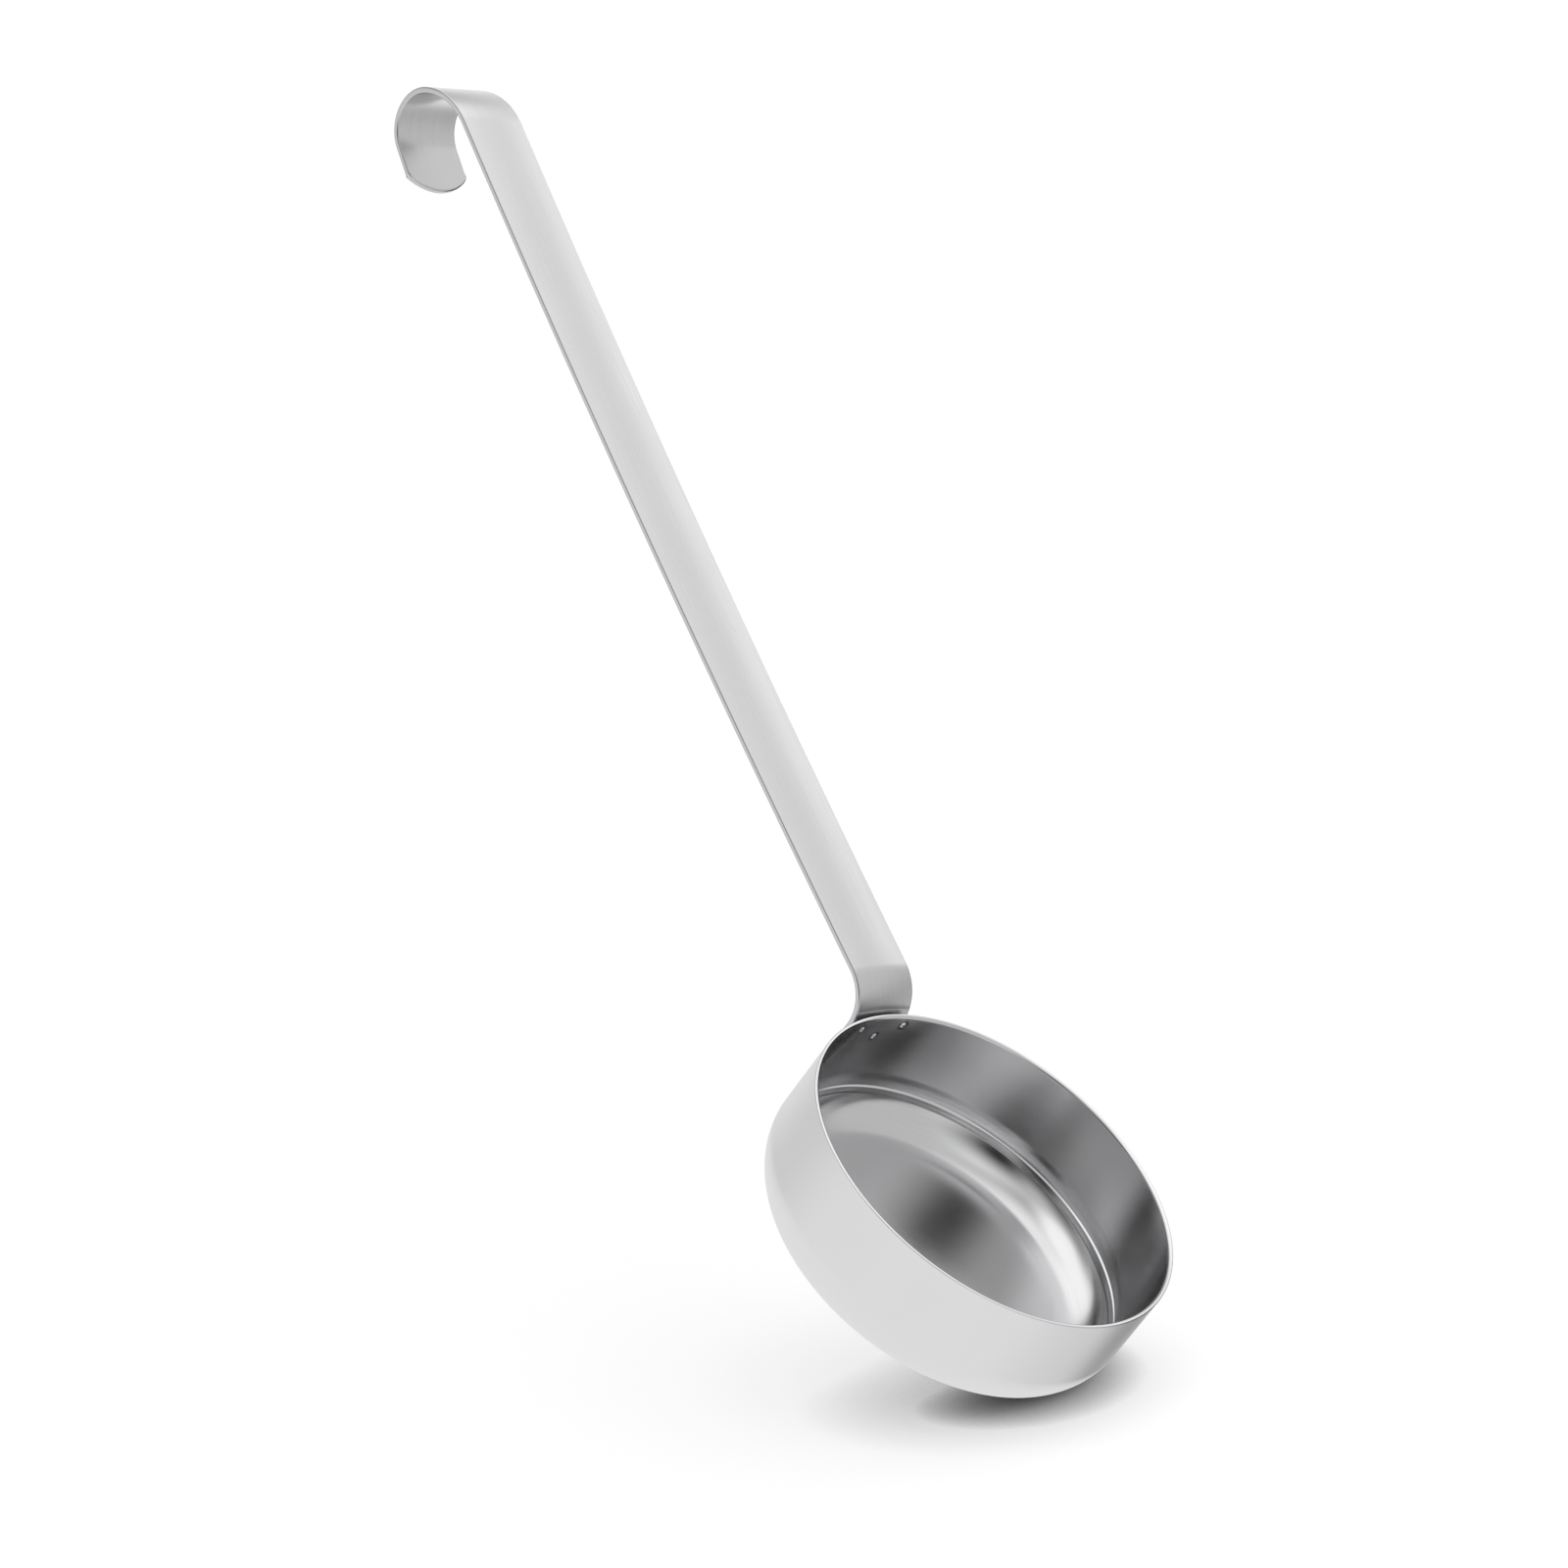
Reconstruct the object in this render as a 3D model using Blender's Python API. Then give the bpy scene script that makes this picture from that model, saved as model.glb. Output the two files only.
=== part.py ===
"""Sauce ladle in stainless steel.

A shallow straight-walled cup, a one-piece strap handle that ends in a hanging
hook, and the spot welds that hold the strap's tang to the cup's wall.
The origin is the middle of the cup's underside, +Z is up along the cup's axis
and the handle leaves towards -X.
"""

import math

import bmesh
import bpy
from mathutils import Vector

# Cup, measured to the outside of the sheet
RIM_RADIUS = 0.0400
CUP_HEIGHT = 0.0279
CORNER_RADIUS = 0.0118
SHEET_THICKNESS = 0.0010
RIM_EDGE_RADIUS = 0.0003

# Raised ring inside the cup, with its distance down the sheet from the rim
RING_DISTANCE = 0.0197
RING_WIDTH = 0.0016
RING_HEIGHT = 0.00025

# Strap handle, one bent piece of flat bar
NECK_WIDTH = 0.0154
HOOK_WIDTH = 0.0163
STRAP_THICKNESS = 0.0012
STRAP_EDGE_RADIUS = 0.0003
TANG_LENGTH = 0.0100
TANG_CURVE_RADIUS = 0.0800
NECK_DROP = 0.0030
NECK_RADIUS = 0.0086
NECK_TURN = math.radians(78.2)
SHANK_LENGTH = 0.1995
SHANK_BOW = math.radians(3.5)
SHANK_CROWN = 0.0004
SHOULDER_RADIUS = 0.0143
SHOULDER_TURN = math.radians(56.6)
HOOK_RADIUS = 0.0081
HOOK_TURN = math.radians(117.9)
TIP_LENGTH = 0.0101
END_ARC_RADIUS = 0.0120
END_CORNER_RADIUS = 0.0012

# Spot welds and what they pass through
WELD_RADIUS = 0.0009
WELD_CROWN = 0.0002
WELD_SINK = 0.0004
WELD_EDGE_LAND = 0.0005
WELD_RIM_LAND = 0.0010
WELD_STEP = 0.0030
CLEARANCE = 0.0003

# Section of the ring: share of its width from the middle, and share of its height
RING_SHAPE = ((-0.5, 0.0), (-0.25, 0.7), (0.0, 1.0), (0.25, 0.7), (0.5, 0.0))

# Fineness of the faceting
CUP_SIDES = 96
CUP_CORNER_STEPS = 10
WELD_SIDES = 20
CORNER_STEPS = 5
RIM_STEPS = 3
STRAP_COLUMNS = 6
BEND_STEP = math.radians(8.0)
LONGEST_STEP = 0.0130
SQUARE_LAND = 0.0002
END_STEPS = 4


def clear_scene():
    """Remove every object that the scene holds."""
    for thing in list(bpy.data.objects):
        bpy.data.objects.remove(thing)


def steel(name, colour, roughness):
    """One stainless steel finish."""
    finish = bpy.data.materials.new(name)
    finish.use_nodes = True
    shader = finish.node_tree.nodes["Principled BSDF"]
    shader.inputs["Base Color"].default_value = (*colour, 1.0)
    shader.inputs["Metallic"].default_value = 1.0
    shader.inputs["Roughness"].default_value = roughness
    return finish


def cup_steel():
    """Drawn sheet, satin outside and in."""
    return steel("drawn_sheet_steel", (0.66, 0.66, 0.67), 0.28)


def strap_steel():
    """Flat bar with a fine long grain."""
    return steel("ground_bar_steel", (0.69, 0.69, 0.70), 0.33)


def weld_steel():
    """Weld metal, a little darker than the sheet."""
    return steel("weld_steel", (0.52, 0.52, 0.53), 0.42)


def finish_object(name, shape, material, parent):
    """Turn a bmesh into a named, smooth-shaded object under its parent."""
    bmesh.ops.recalc_face_normals(shape, faces=shape.faces)
    mesh = bpy.data.meshes.new(name)
    shape.to_mesh(mesh)
    shape.free()
    mesh.shade_smooth()
    mesh.set_sharp_from_angle(angle=math.radians(35.0))
    if material:
        mesh.materials.append(material)
    thing = bpy.data.objects.new(name, mesh)
    bpy.context.collection.objects.link(thing)
    thing.parent = parent
    return thing


def spun(profile, sides):
    """Closed solid of revolution about Z from a list of (radius, height) points."""
    shape = bmesh.new()
    points = [shape.verts.new((radius, 0.0, height)) for radius, height in profile]
    edges = [shape.edges.new(pair) for pair in zip(points, points[1:])]
    bmesh.ops.spin(shape, geom=points + edges, axis=(0.0, 0.0, 1.0), cent=(0.0, 0.0, 0.0),
                   angle=math.tau, steps=sides, use_merge=True)
    bmesh.ops.remove_doubles(shape, verts=shape.verts, dist=1e-7)
    return shape


def rounded(before, corner, after, radius, steps):
    """Arc of (x, y) points that rounds a corner between two straight runs."""
    corner = Vector(corner)
    inward = (Vector(before) - corner).normalized()
    outward = (Vector(after) - corner).normalized()
    half = inward.angle(outward) / 2.0
    middle = (inward + outward).normalized()
    centre = corner + middle * (radius / math.sin(half))
    start = corner + inward * (radius / math.tan(half)) - centre
    sweep = start.angle_signed(corner + outward * (radius / math.tan(half)) - centre)
    arc = []
    for step in range(steps + 1):
        turn = -sweep * step / steps
        x = start.x * math.cos(turn) - start.y * math.sin(turn)
        y = start.x * math.sin(turn) + start.y * math.cos(turn)
        arc.append((centre.x + x, centre.y + y))
    return arc


def straight_height():
    """Height of the upright part of the cup's wall, above the rounded corner."""
    return CUP_HEIGHT - CORNER_RADIUS


def outer_profile():
    """Outside of the cup's half section, from the underside's middle up to the wall."""
    middle = (0.0, 0.0)
    corner = (RIM_RADIUS, 0.0)
    rim = (RIM_RADIUS, CUP_HEIGHT)
    return [middle] + rounded(middle, corner, rim, CORNER_RADIUS, CUP_CORNER_STEPS)


def rim_profile():
    """Rounded lip of the cup's half section, from the outside to the inside."""
    inner_radius = RIM_RADIUS - SHEET_THICKNESS
    outer_edge = (RIM_RADIUS, CUP_HEIGHT)
    inner_edge = (inner_radius, CUP_HEIGHT)
    edge = min(RIM_EDGE_RADIUS, 0.4 * SHEET_THICKNESS)
    points = rounded((RIM_RADIUS, CORNER_RADIUS), outer_edge, inner_edge, edge, RIM_STEPS)
    return points + rounded(outer_edge, inner_edge, (inner_radius, CORNER_RADIUS), edge, RIM_STEPS)


def inside_point(distance, raised):
    """Point of the half section at a distance down the inside from the rim."""
    arc_radius = CORNER_RADIUS - SHEET_THICKNESS
    turn = max(distance - straight_height(), 0.0) / arc_radius
    reach = arc_radius - raised
    radius = RIM_RADIUS - CORNER_RADIUS + reach * math.cos(turn)
    height = CUP_HEIGHT - min(distance, straight_height()) - reach * math.sin(turn)
    return radius, height


def inner_profile():
    """Inside of the cup's half section, down the wall, over the ring and to the middle."""
    arc_length = (CORNER_RADIUS - SHEET_THICKNESS) * math.pi / 2.0
    stations = []
    for share, rise in RING_SHAPE:
        stations.append((RING_DISTANCE + share * RING_WIDTH, rise * RING_HEIGHT))
    for step in range(CUP_CORNER_STEPS + 1):
        distance = straight_height() + arc_length * step / CUP_CORNER_STEPS
        if abs(distance - RING_DISTANCE) > 0.6 * RING_WIDTH:
            stations.append((distance, 0.0))
    points = [inside_point(distance, raised) for distance, raised in sorted(stations)]
    return points + [(0.0, SHEET_THICKNESS)]


def stretches():
    """Length and turn of each stretch of the strap, from the tang's end to the hook's tip."""
    return {
        "tang": (TANG_LENGTH, 0.0),
        "neck": (NECK_RADIUS * NECK_TURN, NECK_TURN),
        "shank": (SHANK_LENGTH, -SHANK_BOW),
        "shoulder": (SHOULDER_RADIUS * SHOULDER_TURN, SHOULDER_TURN),
        "hook": (HOOK_RADIUS * HOOK_TURN, HOOK_TURN),
        "tip": (TIP_LENGTH, 0.0),
    }


def stretch_start(name):
    """Distance from the tang's end to where a stretch begins."""
    names = list(stretches())
    return sum(stretches()[earlier][0] for earlier in names[:names.index(name)])


def strap_length():
    """Developed length of the strap."""
    return sum(length for length, _ in stretches().values())


def heading(angle):
    """Direction of the strap's middle line; at zero it runs straight up."""
    return Vector((-math.sin(angle), 0.0, math.cos(angle)))


def facing(angle):
    """Direction in which the strap's upper face looks; at zero it looks at the cup."""
    return Vector((math.cos(angle), 0.0, math.sin(angle)))


def along_strap(distance):
    """Place and direction of the middle line at a distance from the tang's end.

    The place is measured from where the tang's middle would pass the rim.
    """
    angle = 0.0
    place = -(NECK_DROP + TANG_LENGTH) * heading(angle)
    for length, turn in stretches().values():
        part = min(distance, length)
        bend = turn * part / length
        chord = part if bend == 0.0 else 2.0 * (length / turn) * math.sin(bend / 2.0)
        place = place + chord * heading(angle + bend / 2.0)
        angle += bend
        distance -= part
        if distance <= 0.0:
            break
    return place, angle


def half_width_at(distance):
    """Half width of the strap, which widens evenly along the shank."""
    share = (distance - stretch_start("shank")) / SHANK_LENGTH
    share = min(max(share, 0.0), 1.0)
    return (NECK_WIDTH + share * (HOOK_WIDTH - NECK_WIDTH)) / 2.0


def end_outline(half_width):
    """Pairs of depth from the strap's end and half width there, for its rounded ends."""
    arc_radius = max(END_ARC_RADIUS, half_width)
    corner = min(END_CORNER_RADIUS, 0.5 * half_width)
    meeting = math.asin((half_width - corner) / (arc_radius - corner))
    corner_depth = arc_radius - (arc_radius - corner) * math.cos(meeting)
    pairs = []
    for step in range(1, END_STEPS + 1):
        angle = meeting * step / END_STEPS
        pairs.append((arc_radius * (1.0 - math.cos(angle)), arc_radius * math.sin(angle)))
    for step in range(1, END_STEPS + 1):
        angle = meeting + (math.pi / 2.0 - meeting) * step / END_STEPS
        depth = corner_depth - corner * math.cos(angle)
        pairs.append((depth, half_width - corner + corner * math.sin(angle)))
    return pairs


def strap_stations():
    """Distances along the strap, each with the strap's half width there."""
    tang_end = end_outline(half_width_at(0.0))
    total = strap_length()
    hook_end = [(total - depth, half) for depth, half in end_outline(half_width_at(total))]
    hook_end.reverse()
    first = tang_end[-1][0] + SQUARE_LAND
    last = hook_end[0][0] - SQUARE_LAND
    stations = tang_end
    begin = 0.0
    for length, turn in stretches().values():
        steps = max(2, math.ceil(abs(turn) / BEND_STEP), math.ceil(length / LONGEST_STEP))
        for step in range(1, steps + 1):
            distance = begin + length * step / steps
            if first < distance < last:
                stations.append((distance, half_width_at(distance)))
        begin += length
    return stations + hook_end


def ease(share):
    """Smooth step from 0 to 1, flat at both ends."""
    share = min(max(share, 0.0), 1.0)
    return share * share * (3.0 - 2.0 * share)


def arc_rise(radius, offset):
    """Rise of a circular section above its lowest point, at an offset from the middle."""
    return radius - math.sqrt(radius ** 2 - offset ** 2)


def section_rise(distance, offset):
    """Height of the middle surface above the middle line, at an offset across the strap.

    The tang curves partly round the cup, the shank is crowned, and the hook is flat across.
    """
    neck_length, shoulder_length = stretches()["neck"][0], stretches()["shoulder"][0]
    past_tang = ease((distance - stretch_start("neck")) / neck_length)
    past_shank = ease((distance - stretch_start("shoulder")) / shoulder_length)
    wrap = arc_rise(TANG_CURVE_RADIUS, offset)
    crown = SHANK_CROWN * (1.0 - (offset / half_width_at(distance)) ** 2)
    return (1.0 - past_tang) * wrap + past_tang * (1.0 - past_shank) * crown


def strap_sheet():
    """Middle surface of the strap, a grid laid along the bent middle line."""
    stations = strap_stations()
    rows = len(stations) - 1
    sheet = bmesh.new()
    bmesh.ops.create_grid(sheet, x_segments=STRAP_COLUMNS, y_segments=rows, size=1.0)
    for corner in sheet.verts:
        distance, half_width = stations[round((corner.co.y + 1.0) / 2.0 * rows)]
        offset = corner.co.x * half_width
        place, angle = along_strap(distance)
        rise = section_rise(distance, offset)
        corner.co = place + rise * facing(angle) + Vector((0.0, offset, 0.0))
    return sheet


def weld_places():
    """Name, side offset and depth below the rim of each spot weld."""
    hole_radius = WELD_RADIUS + CLEARANCE
    side = NECK_WIDTH / 2.0 - WELD_EDGE_LAND - hole_radius
    upper = WELD_RIM_LAND + hole_radius
    return [
        ("spot_weld_near", -side, upper),
        ("spot_weld_middle", 0.0, upper + WELD_STEP),
        ("spot_weld_far", side, upper),
    ]


def set_on_wall(thing, side, depth):
    """Stand an object on the wall's outside, with its own +Z square to the wall."""
    angle = math.asin(side / RIM_RADIUS)
    square = Vector((-math.cos(angle), math.sin(angle), 0.0))
    thing.location = square * RIM_RADIUS + Vector((0.0, 0.0, CUP_HEIGHT - depth))
    thing.rotation_mode = "QUATERNION"
    thing.rotation_quaternion = square.to_track_quat("Z", "Y")


def weld_reach(side):
    """How far a weld reaches from the wall's outside into the tang, at a side offset."""
    gap = CLEARANCE + arc_rise(RIM_RADIUS, side) - arc_rise(TANG_CURVE_RADIUS, side)
    return gap + min(WELD_SINK, 0.4 * STRAP_THICKNESS)


def weld_profile(side):
    """Half section of a weld, domed where it shows inside the cup."""
    inner_end = -SHEET_THICKNESS
    outer_end = weld_reach(side)
    points = []
    for step in range(CORNER_STEPS + 1):
        angle = math.pi / 2.0 * step / CORNER_STEPS
        height = inner_end - WELD_CROWN * math.cos(angle)
        points.append((WELD_RADIUS * math.sin(angle), height))
    return points + [(WELD_RADIUS, outer_end), (0.0, outer_end)]


def hole_profile(side):
    """Half section of the cutter that makes room for a weld in the wall and the tang."""
    radius = WELD_RADIUS + CLEARANCE
    inner_end = -2.0 * SHEET_THICKNESS
    outer_end = weld_reach(side) + CLEARANCE
    return [(0.0, inner_end), (radius, inner_end), (radius, outer_end), (0.0, outer_end)]


def cut_holes(thing, cutters):
    """Let every weld hole cut an object."""
    for cutter in cutters:
        cut = thing.modifiers.new("hole_for_" + cutter.name, "BOOLEAN")
        cut.operation = "DIFFERENCE"
        cut.solver = "EXACT"
        cut.object = cutter


def build_cutters(parent):
    """One guide body for each weld hole."""
    cutters = []
    for name, side, depth in weld_places():
        shape = spun(hole_profile(side), WELD_SIDES)
        cutter = finish_object(name + "_hole", shape, None, parent)
        set_on_wall(cutter, side, depth)
        cutter.display_type = "WIRE"
        cutter.hide_render = True
        cutters.append(cutter)
    return cutters


def build_cup(parent, cutters):
    """The cup, spun from its half section, with a hole for each weld."""
    profile = outer_profile() + rim_profile() + inner_profile()
    cup = finish_object("cup", spun(profile, CUP_SIDES), cup_steel(), parent)
    cut_holes(cup, cutters)
    return cup


def build_strap(parent, cutters):
    """The strap, thickened from its middle surface and rounded along its edges."""
    strap = finish_object("handle_strap", strap_sheet(), strap_steel(), parent)
    stand_off = CLEARANCE + STRAP_THICKNESS / 2.0
    strap.location = (-(RIM_RADIUS + stand_off), 0.0, CUP_HEIGHT)
    wall = strap.modifiers.new("thickness", "SOLIDIFY")
    wall.thickness = STRAP_THICKNESS
    wall.offset = 0.0
    wall.use_even_offset = True
    edge = strap.modifiers.new("rounded_edges", "BEVEL")
    edge.width = min(STRAP_EDGE_RADIUS, 0.4 * STRAP_THICKNESS)
    edge.segments = 2
    edge.limit_method = "ANGLE"
    edge.angle_limit = math.radians(60.0)
    edge.use_clamp_overlap = False
    cut_holes(strap, cutters)
    return strap


def build_welds(parent):
    """The spot welds, each set square to the wall."""
    metal = weld_steel()
    for name, side, depth in weld_places():
        weld = finish_object(name, spun(weld_profile(side), WELD_SIDES), metal, parent)
        set_on_wall(weld, side, depth)


def main():
    """Build the whole ladle under one empty."""
    clear_scene()
    ladle = bpy.data.objects.new("sauce_ladle", None)
    bpy.context.collection.objects.link(ladle)
    cutters = build_cutters(ladle)
    build_cup(ladle, cutters)
    build_strap(ladle, cutters)
    build_welds(ladle)


main()
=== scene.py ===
"""Dressed model of a stainless steel sauce ladle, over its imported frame.

The cup, the bent strap handle and the three spot welds are rebuilt here with fine
surfaces, in the places and sizes of the frame's solids.
"""

import logging
import math
from dataclasses import dataclass, field
from enum import Enum

import bmesh
import bpy
from mathutils import Matrix, Vector


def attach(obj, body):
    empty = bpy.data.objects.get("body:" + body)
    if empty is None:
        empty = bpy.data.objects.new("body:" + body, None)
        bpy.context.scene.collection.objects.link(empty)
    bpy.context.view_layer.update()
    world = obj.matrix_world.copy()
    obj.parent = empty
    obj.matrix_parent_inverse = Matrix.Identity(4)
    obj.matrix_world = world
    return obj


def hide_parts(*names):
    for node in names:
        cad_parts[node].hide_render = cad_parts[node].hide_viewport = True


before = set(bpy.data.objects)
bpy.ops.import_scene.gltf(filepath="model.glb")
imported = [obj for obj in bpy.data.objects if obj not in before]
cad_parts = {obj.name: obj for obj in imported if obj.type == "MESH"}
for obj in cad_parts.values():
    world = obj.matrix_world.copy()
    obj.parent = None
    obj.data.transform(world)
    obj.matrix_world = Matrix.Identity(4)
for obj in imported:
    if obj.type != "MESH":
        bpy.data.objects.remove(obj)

LOG = logging.getLogger("sauce_ladle")
ROOT_BODY = "root"
MM_PER_METRE = 1000.0
# Degrees between two faces from which their edge is shaded sharp
SHARP_ANGLE = 40.0
# Metres within which two lengths count as one, and points are merged after a spin
SAME_PLACE = 1e-6
MERGE_DISTANCE = 1e-7
# Values of each point that the materials read: on a place with wear and painted light, and on
# the outside
WEAR_AND_PAINTED_LIGHT = "wear_and_painted_light"
OUTSIDE_SHARE = "outside_share"

Socket = bpy.types.NodeSocket
Tree = bpy.types.NodeTree
Mesh = bmesh.types.BMesh


def srgb(code: str) -> tuple[float, float, float, float]:
    """Turn an sRGB hex code into a linear colour.

    Args:
        code: Six hex digits, with or without a leading hash.

    Returns:
        Linear red, green, blue and an alpha of one.
    """
    digits = code.lstrip("#")
    linear = []
    for start in (0, 2, 4):
        value = int(digits[start:start + 2], 16) / 255.0
        linear.append(value / 12.92 if value <= 0.04045 else ((value + 0.055) / 1.055) ** 2.4)
    return (linear[0], linear[1], linear[2], 1.0)


def millimetres(value: float) -> float:
    """Length in metres of a value in millimetres."""
    return value / MM_PER_METRE


def add_node(
    tree: Tree,
    kind: str,
    settings: dict[str, object] | None = None,
    links: dict[str | int, object] | None = None,
) -> bpy.types.Node:
    """Add one node with its settings and what feeds it.

    Args:
        tree: Node tree that gets the node.
        kind: Blender's type name of the node.
        settings: Properties of the node by name.
        links: For each input, the socket that feeds it or the value it holds.

    Returns:
        The new node.
    """
    node = tree.nodes.new(kind)
    for name, value in (settings or {}).items():
        setattr(node, name, value)
    for key, source in (links or {}).items():
        if isinstance(source, Socket):
            tree.links.new(source, node.inputs[key])
        else:
            node.inputs[key].default_value = source
    return node


def new_object(name: str, data: bpy.types.ID) -> bpy.types.Object:
    """Put a mesh, a camera or a light into the scene as an object.

    Args:
        name: Name of the object.
        data: What the object holds.

    Returns:
        The new object.
    """
    thing = bpy.data.objects.new(name, data)
    bpy.context.collection.objects.link(thing)
    return thing


def half_section(corners: list[tuple[float, float]]) -> Mesh:
    """Join corners into a chain of edges in the plane of X and Z.

    Args:
        corners: Distance from the Z axis and height of each corner, in order.

    Returns:
        The chain, whose points are in the same order.
    """
    work = bmesh.new()
    points = [work.verts.new((radius, 0.0, height)) for radius, height in corners]
    for pair in zip(points, points[1:]):
        work.edges.new(pair)
    return work


def spin_section(work: Mesh, sides: int) -> None:
    """Spin a half section round the Z axis into a closed shape.

    Args:
        work: The half section, changed in place.
        sides: Number of flat sides round the axis.
    """
    bmesh.ops.spin(work, geom=work.verts[:] + work.edges[:], cent=(0.0, 0.0, 0.0),
                   axis=(0.0, 0.0, 1.0), angle=math.tau, steps=sides, use_merge=True)
    bmesh.ops.remove_doubles(work, verts=work.verts, dist=MERGE_DISTANCE)
    bmesh.ops.recalc_face_normals(work, faces=work.faces)


class Grain(Enum):
    """Direction in which a steel's fine finishing marks run."""

    ROUND_AXIS = "round the cup's axis"
    ALONG_STRAP = "along the strap"
    NONE = "no direction"


@dataclass(frozen=True)
class StainlessSteel:
    """Austenitic stainless steel, the base of each finish here.

    A metal with a soft, slightly blurred reflection. Real finishing marks are well under
    0.1 mm wide, too fine for the picture, so grain_width_mm draws them wider.
    """

    MARKS_PART = 0.7
    CLOUDS_PART = 0.3
    NOISE_LOW = 0.3
    NOISE_HIGH = 0.7
    ROUND_RADIUS_MM = 40.0

    name: str
    slot: str
    colour: str
    dark_colour: str
    roughness: float
    roughness_spread: float
    grain: Grain
    grain_width_mm: float
    grain_length_mm: float
    grain_depth_mm: float
    cloud_size_mm: float
    # Colour of the marked places, painted light: brighter on the rim and the welds, darker on
    # the strap's edges
    wear_and_painted_light_colour: str
    worn_roughness: float

    def grain_coordinates(self, tree: Tree) -> Socket:
        """Coordinates in millimetres in which the marks run along the first axis.

        Args:
            tree: Node tree of the material.

        Returns:
            Socket that gives the coordinates.
        """
        if self.grain is Grain.ALONG_STRAP:
            run = add_node(tree, "ShaderNodeUVMap", {"uv_map": StrapHandle.RUN_MAP})
            place = run.outputs["UV"]
        else:
            place = add_node(tree, "ShaderNodeTexCoord").outputs["Object"]
        scaled = add_node(tree, "ShaderNodeVectorMath", {"operation": "SCALE"},
                          {0: place, "Scale": MM_PER_METRE}).outputs["Vector"]
        return self.round_axis(tree, scaled) if self.grain is Grain.ROUND_AXIS else scaled

    def round_axis(self, tree: Tree, place: Socket) -> Socket:
        """Turn a place into its way round the axis, its radius and its height.

        Args:
            tree: Node tree of the material.
            place: Socket that gives the place in millimetres.

        Returns:
            Socket that gives the three lengths in millimetres.
        """
        parts = add_node(tree, "ShaderNodeSeparateXYZ", {}, {0: place})
        x, y, z = (parts.outputs[axis] for axis in "XYZ")
        angle = add_node(tree, "ShaderNodeMath", {"operation": "ARCTAN2"}, {0: y, 1: x})
        flat = add_node(tree, "ShaderNodeCombineXYZ", {}, {"X": x, "Y": y})
        radius = add_node(tree, "ShaderNodeVectorMath", {"operation": "LENGTH"},
                          {0: flat.outputs["Vector"]})
        way = add_node(tree, "ShaderNodeMath", {"operation": "MULTIPLY"},
                       {0: angle.outputs["Value"], 1: self.ROUND_RADIUS_MM})
        joined = add_node(tree, "ShaderNodeCombineXYZ", {},
                          {"X": way.outputs["Value"], "Y": radius.outputs["Value"], "Z": z})
        return joined.outputs["Vector"]

    def marks(self, tree: Tree, place: Socket) -> Socket:
        """Fine finishing marks as a value around one half.

        Args:
            tree: Node tree of the material.
            place: Socket that gives coordinates in millimetres.

        Returns:
            Socket that gives the marks.
        """
        across = 1.0 / self.grain_width_mm
        stretch = Vector((1.0 / self.grain_length_mm, across, across))
        scaled = add_node(tree, "ShaderNodeMapping", {}, {"Vector": place, "Scale": stretch})
        noise = add_node(tree, "ShaderNodeTexNoise", {},
                         {"Vector": scaled.outputs["Vector"], "Scale": 1.0, "Detail": 3.0,
                          "Roughness": 0.6})
        return noise.outputs["Fac"]

    def clouds(self, tree: Tree) -> Socket:
        """Large soft differences left by polishing, as a value around one half.

        Args:
            tree: Node tree of the material.

        Returns:
            Socket that gives the differences.
        """
        place = add_node(tree, "ShaderNodeTexCoord")
        noise = add_node(tree, "ShaderNodeTexNoise", {},
                         {"Vector": place.outputs["Object"],
                          "Scale": MM_PER_METRE / self.cloud_size_mm, "Detail": 2.0})
        return noise.outputs["Fac"]

    def add_wear_and_painted_light(
        self, tree: Tree, colour: Socket, rough: Socket
    ) -> tuple[Socket, Socket]:
        """Recolour and smooth the marked places: a painted highlight on the cup's rim, partly
        real wear, a painted highlight on the welds' domes, and painted shade on the strap's
        edges.

        Args:
            tree: Node tree of the material.
            colour: Socket that gives the colour away from the edges.
            rough: Socket that gives the roughness away from the edges.

        Returns:
            Sockets that give the colour and the roughness everywhere.
        """
        # Painted light on the marked places: highlight on the rim and the welds, shade on the
        # strap's edges
        edge = add_node(tree, "ShaderNodeAttribute", {"attribute_name": WEAR_AND_PAINTED_LIGHT})
        tone = add_node(tree, "ShaderNodeMix", {"data_type": "RGBA"},
                        {"Factor": edge.outputs["Fac"], "A": colour,
                         "B": srgb(self.wear_and_painted_light_colour)})
        gloss = add_node(tree, "ShaderNodeMix", {"data_type": "FLOAT"},
                         {"Factor": edge.outputs["Fac"], "A": rough, "B": self.worn_roughness})
        return tone.outputs["Result"], gloss.outputs["Result"]

    def place_marks(
        self, tree: Tree, colour: Socket, rough: Socket
    ) -> tuple[Socket, Socket]:
        """Change the finish in some places of the piece, here in none.

        Args:
            tree: Node tree of the material, not used here.
            colour: Socket that gives the colour.
            rough: Socket that gives the roughness.

        Returns:
            Sockets that give the colour and the roughness.
        """
        return colour, rough

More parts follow.
